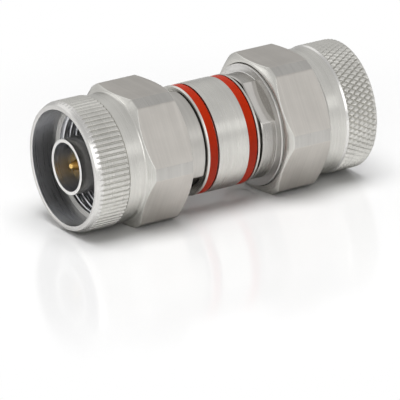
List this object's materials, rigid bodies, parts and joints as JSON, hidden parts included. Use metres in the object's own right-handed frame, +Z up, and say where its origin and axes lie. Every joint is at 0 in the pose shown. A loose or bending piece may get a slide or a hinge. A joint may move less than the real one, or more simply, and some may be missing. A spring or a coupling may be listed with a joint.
{
  "type": "coaxial adapter",
  "caption": "Straight precision coaxial adapter: a turned body with red bands between free-turning hexagonal, knurled coupling nuts, with a pin contact in each mouth.",
  "frame": {"origin": "on the common axis, halfway between the front faces of the two coupling nuts", "axes": "X along the common axis, from the nut with the straight knurl to the nut with the crossed knurl; Z up, square to the pair of hexagon flats that it rests on"},
  "size_m": [0.0468, 0.021, 0.019],
  "materials": {
    "satin_steel": "passivated stainless steel, satin from fine turning and milling",
    "turned_steel": "passivated stainless steel, finely turned, with milled wrench flats",
    "contact_steel": "smooth bright turned steel",
    "contact_gold": "gold plated, polished",
    "red_enamel": "dark red enamel, half gloss",
    "gasket_rubber": "black moulded rubber",
    "bead_plastic": "off-white machined dielectric"
  },
  "bodies": {
    "adapter_body": {"left_body_shell": "turned_steel", "right_body_shell": "turned_steel", "banded_sleeve": "satin_steel", "left_red_band": "red_enamel", "right_red_band": "red_enamel", "left_snap_ring": "turned_steel", "right_snap_ring": "turned_steel", "left_outer_contact": "contact_steel", "right_outer_contact": "contact_steel", "left_gasket": "gasket_rubber", "right_gasket": "gasket_rubber", "left_support_bead": "bead_plastic", "right_support_bead": "bead_plastic", "left_centre_contact": "contact_gold", "right_centre_contact": "contact_gold", "centre_conductor": "contact_gold"},
    "left_nut": {"left_coupling_nut": "satin_steel"},
    "right_nut": {"right_coupling_nut": "satin_steel"}
  },
  "joints": [
    {"name": "left_nut_spin", "type": "hinge", "parent": "adapter_body", "child": "left_nut", "pos_m": [-0.0155, 0, 0], "axis": [1, 0, 0], "continuous": true},
    {"name": "right_nut_spin", "type": "hinge", "parent": "adapter_body", "child": "right_nut", "pos_m": [0.0155, 0, 0], "axis": [1, 0, 0], "continuous": true}
  ]
}
